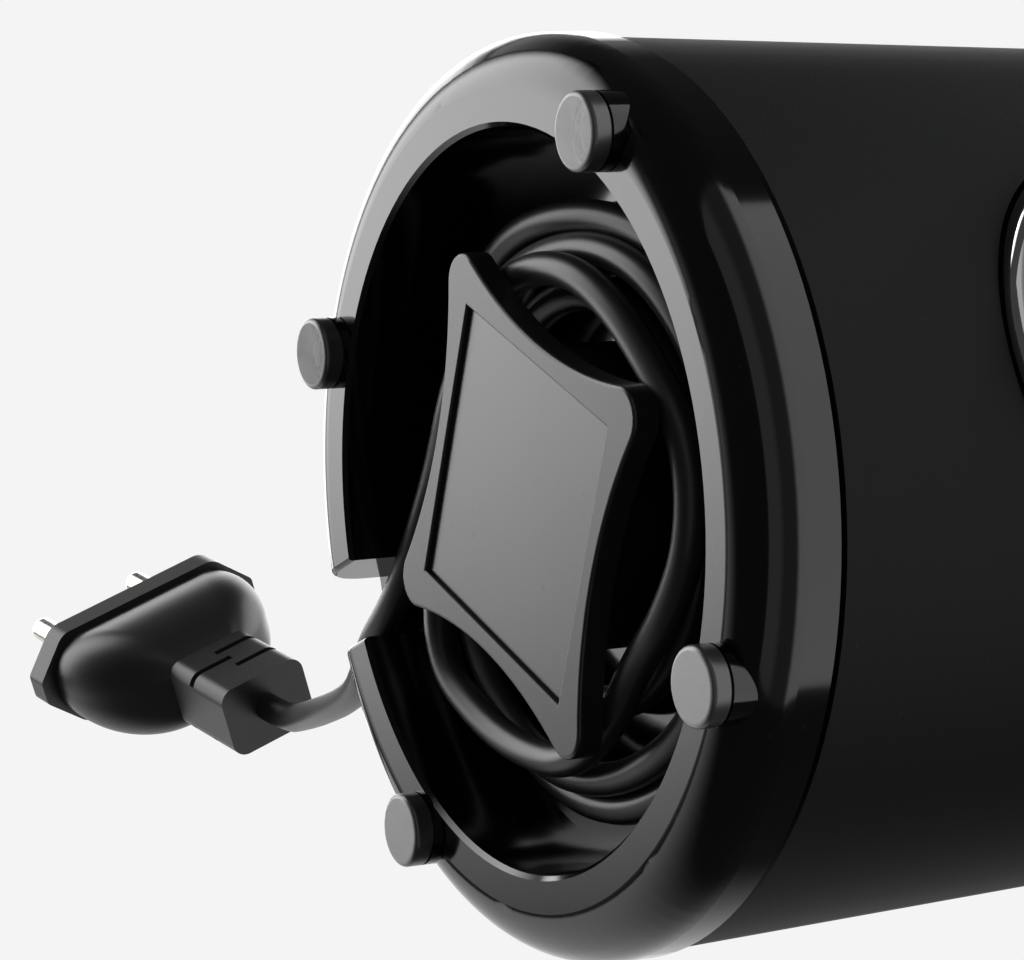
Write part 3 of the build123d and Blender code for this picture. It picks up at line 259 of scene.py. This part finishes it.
finishes = {
    "gloss_black_plastic": moulded("glossBlack", {
        "colour": (0.0018, 0.0018, 0.0021), "roughness": 0.1, "patches": 0.03, "scuffs": 0.03, "dust": 0.04,
        "grainScale": 420, "grainDepth": 0.0000035,
    }),
    "matte_black_plastic": moulded("matteBlack", {
        "colour": (0.0082, 0.0093, 0.0087), "roughness": 0.6, "patches": 0.06, "scuffs": 0.03,
        "dust": 0.05, "jointTop": 0.0162, "grainScale": 2600, "grainDepth": 0.00003,
        "fixed": {"Specular_IOR_Level": 0.2},
    }),
    "hub_black_plastic": moulded("hubBlack", {
        "colour": (0.007, 0.007, 0.008), "roughness": 0.3, "dust": 0.06, "grainScale": 1500,
        "grainDepth": 0.00001,
    }),
    "satin_grey_plastic": moulded("plateBlack", {
        "colour": (0.016, 0.0165, 0.018), "roughness": 0.3, "patches": 0.05, "scuffs": 0.05, "dust": 0.04,
        "grainScale": 2400, "grainDepth": 0.00001,
    }),
    "label_film": moulded("labelFilm", {
        "colour": (0.03, 0.03, 0.031), "roughness": 0.24, "patches": 0.04, "scuffs": 0.04, "dust": 0.03,
        "grainScale": 5200, "grainDepth": 0.000004, "driftScale": 30,
    }),
    "grey_rubber": moulded("footRubber", {
        "colour": (0.035, 0.035, 0.036), "roughness": 0.32, "patches": 0.06, "scuffs": 0.02, "dust": 0.06,
        # the light sole colour is a painted sheen on the down-facing face of the black feet
        "soleSheenColour": (0.46, 0.46, 0.47),
        "dustScale": 1400, "grainScale": 1800, "grainDepth": 0.000008, "fixed": {"Specular_IOR_Level": 0.95},
    }),
    "black_rubber": moulded("softBlack", {
        "colour": (0.016, 0.016, 0.017), "roughness": 0.62, "dust": 0.12, "grainScale": 1600,
        "grainDepth": 0.00003,
    }),
    "knob_plastic": moulded("knobSatin", {
        "colour": (0.012, 0.012, 0.013), "roughness": 0.34, "dust": 0.05, "grainScale": 2200,
        "grainDepth": 0.000014,
    }),
    "white_mark": moulded("paintMark", {
        "colour": (0.78, 0.78, 0.75), "roughness": 0.45, "drift": 0.05, "dust": 0.1, "grainScale": 2000,
        "grainDepth": 0.00001, "dustColour": (0.3, 0.29, 0.27),
    }),
    "carbon": moulded("brushCarbon", {
        "colour": (0.03, 0.03, 0.032), "roughness": 0.5, "drift": 0.3, "dust": 0.3, "grainScale": 1500,
        "grainDepth": 0.00004, "dustColour": (0.12, 0.12, 0.12),
    }),
    "fan_nylon": moulded("fanNylon", {
        "colour": (0.62, 0.6, 0.54), "roughness": 0.42, "drift": 0.06, "dust": 0.2, "grainScale": 900,
        "grainDepth": 0.00002, "dustColour": (0.1, 0.09, 0.08),
    }),
    "coupling_nylon": moulded("couplingNylon", {
        "colour": (0.02, 0.02, 0.021), "roughness": 0.4, "drift": 0.2, "dust": 0.15, "grainScale": 1200,
        "grainDepth": 0.00003,
    }),
    "switch_plastic": moulded("switchBody", {
        "colour": (0.055, 0.055, 0.058), "roughness": 0.4, "dust": 0.1, "grainScale": 1400,
        "grainDepth": 0.00002,
    }),
    "plunger_plastic": moulded("plungerRed", {
        "colour": (0.36, 0.028, 0.02), "roughness": 0.36, "drift": 0.1, "dust": 0.06, "grainScale": 1300,
        "grainDepth": 0.000014,
    }),
    "board": moulded("boardLaminate", {
        "colour": (0.35, 0.2, 0.07), "roughness": 0.5, "drift": 0.18, "driftScale": 160, "dust": 0.12,
        "grainScale": 1100, "grainDepth": 0.00002,
    }),
    "capacitor_yellow": moulded("capacitorCase", {
        "colour": (0.66, 0.42, 0.05), "roughness": 0.38, "drift": 0.06, "dust": 0.08, "grainScale": 800,
        "grainDepth": 0.00002,
    }),
    "wire_brown": moulded("wireBrown", {
        "colour": (0.11, 0.04, 0.016), "roughness": 0.34, "drift": 0.1, "grainScale": 900,
        "grainDepth": 0.00001,
    }),
    "wire_blue": moulded("wireBlue", {
        "colour": (0.015, 0.09, 0.36), "roughness": 0.34, "drift": 0.1, "grainScale": 900,
        "grainDepth": 0.00001,
    }),
    "flex_pvc": moulded("plugBlack", {
        "colour": (0.02, 0.02, 0.021), "roughness": 0.36, "patches": 0.08, "scuffs": 0.06, "dust": 0.06,
        "grainScale": 1900, "grainDepth": 0.00001,
    }),
    "chrome": metal("chromePlate", {
        "colour": (0.86, 0.86, 0.87), "darker": (0.74, 0.75, 0.77), "roughness": 0.05, "spots": 0.02,
        "strokes": (300, 300, 300), "strokeShare": 0.03, "strokeDepth": 0.0000004,
    }),
    "nickel": metal("nickelPins", {
        "colour": (0.8, 0.77, 0.71), "darker": (0.6, 0.57, 0.52), "roughness": 0.2, "spots": 0.12,
        "strokes": (260, 900, 900), "strokeShare": 0.12,
    }),
    "zinc_steel": metal("zincSteel", {
        "colour": (0.58, 0.6, 0.62), "darker": (0.42, 0.43, 0.43), "roughness": 0.32, "spots": 0.25,
        "strokes": (900, 200, 900),
    }),
    "brass": metal("brassSheet", {
        "colour": (0.72, 0.5, 0.2), "darker": (0.5, 0.32, 0.12), "roughness": 0.3, "spots": 0.2,
        "strokes": (200, 1200, 600),
    }),
    "motor_steel": laminated("motorSheets", {
        "colour": (0.34, 0.35, 0.36), "seam": (0.06, 0.06, 0.06), "rust": (0.2, 0.1, 0.05),
        "sheet": 0.0005, "depth": 0.00006,
    }),
    "copper": wound("copperWire", {
        "colour": (0.72, 0.28, 0.1), "grooveShade": (0.16, 0.05, 0.02), "dark": (0.32, 0.11, 0.04),
        "wire": 0.0007, "slant": 0.25, "depth": 0.0002,
    }),
}

print("finishes made:", len(finishes))

slotOf = {name: node.data.materials[0].name.split(".")[0] for name, node in nodes.items()}
for name, node in nodes.items():
    node.data.materials[0] = finishes[slotOf[name]]

# the flex: out of the gland, round the hub, out through the gap and along to the plug

flexPlan = {
    "diameter": 0.0045,
    "exit": (-0.032, 0.0, 0.0172),
    # the first bend under the gland, from the exit
    "dive": [(0, 0.0002, -0.0012), (0.0001, 0.0017, -0.0022)],
    "pointsPerTurn": 18,
    "startAngle": 174,
    "endAngle": 134,
    "change": 0.16,
    # each turn: where it ends, how far out and how high it lies, in millimetres;
    # a swell or dip is (angle, millimetres, spread)
    "turns": [
        {"until": 0.10, "radius": 31.5, "depth": 16.6, "swells": []},
        {"until": 1.20, "radius": 27.4, "depth": 16.4, "swells": [(220, -1.2, 30)]},
        {"until": 2.20, "radius": 40.3, "depth": 16.9, "dip": (180, -2.3, 35),
         "swells": [(35, 1.4, 40), (200, -3.6, 40), (300, 2.0, 35)]},
        {"until": 3.20, "radius": 36.8, "depth": 14.2,
         "swells": [(45, 1.6, 25), (305, 2.6, 35), (190, -4.4, 50)]},
        {"until": 9.00, "radius": 30.3, "depth": 10.3,
         "swells": [(73, 11.5, 26), (24, 4.8, 24), (283, 5.8, 22), (336, -2.4, 14), (150, -0.8, 25)]},
    ],
    # from the coil to the plug, in millimetres
    "route": [
        (-14.0, 33.0, 12.3),
        (-5.6, 42.2, 11.3),
        (0.2, 51.2, 10.9),
        (3.3, 60.6, 11.1),
        (5.9, 69.2, 13.2),
        (6.9, 78.2, 15.7),
        (6.3, 88.0, 17.9),
        (5.1, 98.0, 20.1),
        (3.8, 107.6, 22.5),
        (2.4, 116.6, 24.6),
    ],
    "plugAxis": (-0.510, 0.855, -0.095),
    "plugBack": (-2.46, 130.78, 25.15),
    "plugRun": 7.0,
}


def swell(angle, at, amount, spread):
    off = (angle - at + 180) % 360 - 180
    return amount * exp(-((off / spread) ** 2))


def turnPoint(plan, share):  # share counts turns from the gland, clockwise seen from above
    angle = plan["startAngle"] - 360 * share
    radius = depth = 0
    start = -9.0
    for turn in plan["turns"]:
        rise = min(1, max(0, (share - start) / plan["change"] + 0.5))
        fall = min(1, max(0, (share - turn["until"]) / plan["change"] + 0.5))
        weight = rise * rise * (3 - 2 * rise) - fall * fall * (3 - 2 * fall)
        out = turn["radius"] + sum(swell(angle, *each) for each in turn["swells"])
        radius += weight * out
        depth += weight * (turn["depth"] + swell(angle, *turn.get("dip", (0, 0, 1))))
        start = turn["until"]
    return (radius * cos(radians(angle)), radius * sin(radians(angle)), depth)


def makeFlex(plan):
    exitPoint = Vector(plan["exit"])
    axis = Vector(plan["plugAxis"]).normalized()
    points = [exitPoint] + [exitPoint + Vector(step) for step in plan["dive"]]
    turnCount = len(plan["turns"]) - 1 + (plan["startAngle"] - plan["endAngle"]) / 360
    steps = round(turnCount * plan["pointsPerTurn"])
    for step in range(steps + 1):
        points.append(Vector(turnPoint(plan, turnCount * step / steps)) * mm)
    points += [Vector(point) * mm for point in plan["route"]]
    plugBack = Vector(plan["plugBack"]) * mm
    points += [plugBack - axis * plan["plugRun"] * mm, plugBack]
    curve = bpy.data.curves.new("flex", "CURVE")
    curve.dimensions = "3D"
    curve.resolution_u = 8
    curve.bevel_depth = plan["diameter"] / 2
    curve.bevel_resolution = 5
    curve.use_fill_caps = True
    spline = curve.splines.new("NURBS")
    spline.points.add(len(points) - 1)
    for slot, point in zip(spline.points, points):
        slot.co = (*point, 1)
    spline.order_u = 3
    spline.use_endpoint_u = True
    flex = bpy.data.objects.new("flex", curve)
    scene.collection.objects.link(flex)
    curve.materials.append(finishes["flex_pvc"])
    return flex


flex = makeFlex(flexPlan)
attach(flex, "base")
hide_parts("cord_coil", "cord_tube")
print("flex laid")

# what repeats: each is a small node tree, turned into a plain mesh


class Pattern:  # a node tree with named inputs
    def __init__(self, name, sizes):
        self.tree = bpy.data.node_groups.new(name, "GeometryNodeTree")
        self.sizes = sizes
        self.tree.interface.new_socket("Geometry", in_out="OUTPUT", socket_type="NodeSocketGeometry")
        for key, value in sizes.items():
            kind = "NodeSocketInt" if isinstance(value, int) else "NodeSocketFloat"
            self.tree.interface.new_socket(key, in_out="INPUT", socket_type=kind)
        self.given = self.tree.nodes.new("NodeGroupInput")

    def node(self, kind, settings=None, values=None, give=0):
        made = self.tree.nodes.new(kind)
        for key, value in (settings or {}).items():
            setattr(made, key, value)
        for key, value in (values or {}).items():
            if isinstance(value, str):
                value = self.given.outputs[value]
            if isinstance(value, bpy.types.NodeSocket):
                self.tree.links.new(value, made.inputs[key])
            else:
                made.inputs[key].default_value = value
        return made.outputs[give]

    def mesh(self, shape, name, material):  # runs the tree and keeps what it makes as a plain mesh
        real = self.node("GeometryNodeRealizeInstances", None, {0: shape})
        painted = self.node("GeometryNodeSetMaterial", None, {"Geometry": real, "Material": material})
        last = self.tree.nodes.new("NodeGroupOutput")
        self.tree.links.new(painted, last.inputs[0])
        holder = bpy.data.objects.new(name + "Holder", bpy.data.meshes.new(name + "Holder"))
        scene.collection.objects.link(holder)
        modifier = holder.modifiers.new(name, "NODES")
        modifier.node_group = self.tree
        for socket in self.tree.interface.items_tree:
            if socket.in_out == "INPUT":
                modifier[socket.identifier] = self.sizes[socket.name]
        made = holder.evaluated_get(bpy.context.evaluated_depsgraph_get())
        mesh = bpy.data.meshes.new_from_object(made)
        mesh.name = name
        holder.modifiers.remove(modifier)
        bpy.data.objects.remove(holder)
        piece = bpy.data.objects.new(name, mesh)
        scene.collection.objects.link(piece)
        return piece


def ringOf(name, plan, material):  # small blocks side by side round the knob's axis
    made = Pattern(name, plan["sizes"])
    ring = made.node("GeometryNodeMeshCircle", None, {"Vertices": "count", "Radius": "radius"})
    outwards = made.node("FunctionNodeAlignRotationToVector", {"axis": "X"},
                         {"Vector": made.node("GeometryNodeInputPosition")})
    size = made.node("ShaderNodeCombineXYZ", None, {0: "proud", 1: "width", 2: "length"})
    block = made.node("GeometryNodeMeshCube", None, {"Size": size})
    blocks = made.node("GeometryNodeInstanceOnPoints", None, {
        "Points": ring, "Instance": block, "Rotation": outwards,
    })
    kept = made.node("GeometryNodeTransform", None, {
        "Geometry": blocks, "Translation": plan["middle"], "Rotation": (radians(90), 0, 0),
    })
    return made.mesh(kept, name, material)


knobLow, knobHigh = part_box("speed_knob")
bezelLow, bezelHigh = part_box("knob_bezel")
knobMiddleZ = (knobLow[2] + knobHigh[2]) / 2

ribOffset = 0.0002  # the ribs stand this much nearer the knob's face than half way

knobRibs = {  # the milled side of the knob, above the bezel
    "sizes": {"count": 60, "radius": (knobHigh[0] - knobLow[0]) / 2, "proud": 0.0005, "width": 0.0009,
              "length": 0.0036},
    "middle": (0, (knobLow[1] + bezelLow[1]) / 2 - ribOffset, knobMiddleZ),
}
ribs = ringOf("knobRibs", knobRibs, finishes["knob_plastic"])
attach(ribs, "knob")

speedMarks = {  # short strokes on the face of the bezel
    "sizes": {"count": 24, "radius": 0.0243, "proud": 0.0016, "width": 0.00035, "length": 0.00012},
    "middle": (0, bezelLow[1], knobMiddleZ),
}
marks = ringOf("speedMarks", speedMarks, finishes["switch_plastic"])
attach(marks, "base")

springPlan = {
    "sizes": {"turns": 5.0, "coilRadius": 0.0032, "height": 0.0080, "wire": 0.00035},
    "middle": (0, 0.035, 0.09301),
    "pointsPerTurn": 28,
    "sectionPoints": 12,
    "foot": (0, 0, 0.0926),  # a height just under the spring's foot
    "keep": 0.6,
}


def makeSpring(plan):
    made = Pattern("plungerSpring", plan["sizes"])
    helix = made.node("GeometryNodeCurveSpiral", None, {
        "Resolution": plan["pointsPerTurn"], "Rotations": "turns", "Start Radius": "coilRadius",
        "End Radius": "coilRadius", "Height": "height",
    })
    section = made.node("GeometryNodeCurvePrimitiveCircle", None, {
        "Resolution": plan["sectionPoints"], "Radius": "wire",
    })
    coil = made.node("GeometryNodeCurveToMesh", None, {
        "Curve": helix, "Profile Curve": section, "Fill Caps": True,
    })
    placed = made.node("GeometryNodeTransform", None, {"Geometry": coil, "Translation": plan["middle"]})
    return made.mesh(placed, "plungerSpring", finishes["zinc_steel"])


spring = makeSpring(springPlan)
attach(spring, "base")
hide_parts("plunger_spring")
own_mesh(spring)
print("ribs, marks and spring made")

# floor and light: a pale floor that is only seen from above, and soft panels round the object

stagePlan = {
    "floorSize": 5.6,
    "floorColour": (0.36, 0.36, 0.36),
    "floorGlow": 1.75,
    "background": (0.905, 0.905, 0.905),
    # the light of the room itself, brighter behind the object; the camera sees only the background
    "roomLight": 0.05,
    "behindLight": 0.85,
    "behindFrom": 0.4,
    "behindFull": 0.9,
}

panels = {  # edge is the share of each half side over which the light fades out
    "underPanel": {
        "from": (-0.60, 0.66, -0.42), "to": (0, 0, 0), "width": 1.5, "height": 0.76, "power": 3.9, "edge": 0.6,
    },
    "backPanel": {
        "from": (-0.46, 0.95, 0.38), "to": (0, 0, 0.05), "width": 0.9, "height": 1.5, "power": 3.2, "edge": 0.4,
    },
    "topPanel": {
        "from": (-0.5, 0.3, 1.3), "to": (0, 0, 0.06), "width": 1.2, "height": 1.2, "power": 2.2, "edge": 0.4,
    },
}

frontStrip = {
    "radius": 4.2, "fromAngle": 213, "toAngle": 335, "low": -3.92, "high": 4.2, "power": 1.5, "steps": 48,
    # full above, a quarter as bright below and dim between the two
    "upperEdge": (0.5, 1.2), "lowerEdge": (-2.2, -1.1), "dimShare": 0.12, "lowShare": 0.27,
}


def sheetOf(name, wide, tall):  # a flat four-cornered sheet, given by its half sides
    mesh = bpy.data.meshes.new(name)
    corners = [(-wide, -tall, 0), (wide, -tall, 0), (wide, tall, 0), (-wide, tall, 0)]
    mesh.from_pydata(corners, [], [(0, 1, 2, 3)])
    sheet = bpy.data.objects.new(name, mesh)
    scene.collection.objects.link(sheet)
    return sheet


def lamp(piece, made, strength):  # a stage piece that only gives light, from its front
    front = 1 - made.node("NewGeometry", give="Backfacing")
    light = made.node("Emission", None, {"Strength": front * strength})
    piece.data.materials.append(made.shown(light))
    piece.visible_camera = False


def makeFloor(plan):
    half = plan["floorSize"] / 2
    floor = sheetOf("floor", half, half)
    made = Finish("paleFloor")
    cloud = made.noise(3, 2)
    colour = made.blend(cloud, plan["floorColour"], Vector(plan["floorColour"]) * 0.97)
    lit = made.node("BsdfDiffuse", None, {"Color": colour})
    glow = made.node("Emission", None, {"Color": colour, "Strength": plan["floorGlow"]})
    solid = made.node("AddShader", None, {0: lit, 1: glow})
    clear = made.node("BsdfTransparent")
    under = made.node("NewGeometry", give="Backfacing")
    floor.data.materials.append(made.shown(made.node("MixShader", None, {0: under, 1: solid, 2: clear})))
    for ray in ("diffuse", "glossy", "shadow", "transmission"):  # light from under the floor passes through it
        setattr(floor, "visible_" + ray, False)


def makePanel(name, plan):
    wide, tall = plan["width"] / 2, plan["height"] / 2
    panel = sheetOf(name, wide, tall)
    panel.location = plan["from"]
    towards = Vector(plan["to"]) - Vector(plan["from"])
    panel.rotation_euler = towards.to_track_quat("Z", "Y").to_euler()
    made = Finish(name)
    across = (wide - made.axis("X").size()).step(0, plan["edge"] * wide)
    along = (tall - made.axis("Y").size()).step(0, plan["edge"] * tall)
    lamp(panel, made, across * along * plan["power"])


def makeStrip(plan):  # a tall curved light in front, sharp edged in the gloss of the base ring
    mesh = bpy.data.meshes.new("frontStrip")
    corners, faces = [], []
    for step in range(plan["steps"] + 1):
        turn = radians(plan["fromAngle"] + (plan["toAngle"] - plan["fromAngle"]) * step / plan["steps"])
        place = (plan["radius"] * cos(turn), plan["radius"] * sin(turn))
        corners += [(*place, plan["low"]), (*place, plan["high"])]
    for step in range(plan["steps"]):
        at = 2 * step
        faces.append((at, at + 1, at + 3, at + 2))
    mesh.from_pydata(corners, [], faces)
    strip = bpy.data.objects.new("frontStrip", mesh)
    scene.collection.objects.link(strip)
    made = Finish("frontStrip")
    height = made.axis("Z")
    upper = height.step(*plan["upperEdge"])
    lower = 1 - height.step(*plan["lowerEdge"])
    dim = plan["dimShare"]
    level = dim + (1 - dim) * upper + (plan["lowShare"] - dim) * lower
    lamp(strip, made, level * plan["power"])


def makeWorld(plan):
    world = bpy.data.worlds.new("paleRoom")
    scene.world = world
    world.use_nodes = True
    tree = world.node_tree
    tree.nodes.clear()
    seen = tree.nodes.new("ShaderNodeBackground")
    seen.inputs[0].default_value = (*plan["background"], 1)
    room = tree.nodes.new("ShaderNodeBackground")
    direction = tree.nodes.new("ShaderNodeTexCoord")
    parts = tree.nodes.new("ShaderNodeSeparateXYZ")
    tree.links.new(direction.outputs["Generated"], parts.inputs[0])
    behind = Wire(tree, parts.outputs["Y"]).step(plan["behindFrom"], plan["behindFull"])
    feed(tree, room.inputs[0], (1, 1, 1))
    feed(tree, room.inputs[1], plan["roomLight"] + behind * plan["behindLight"])
    path = tree.nodes.new("ShaderNodeLightPath")
    both = tree.nodes.new("ShaderNodeMixShader")
    output = tree.nodes.new("ShaderNodeOutputWorld")
    tree.links.new(path.outputs["Is Camera Ray"], both.inputs[0])
    tree.links.new(room.outputs[0], both.inputs[1])
    tree.links.new(seen.outputs[0], both.inputs[2])
    tree.links.new(both.outputs[0], output.inputs[0])


makeFloor(stagePlan)
for panelName, panelPlan in panels.items():
    makePanel(panelName, panelPlan)
makeStrip(frontStrip)
makeWorld(stagePlan)
print("stage set")
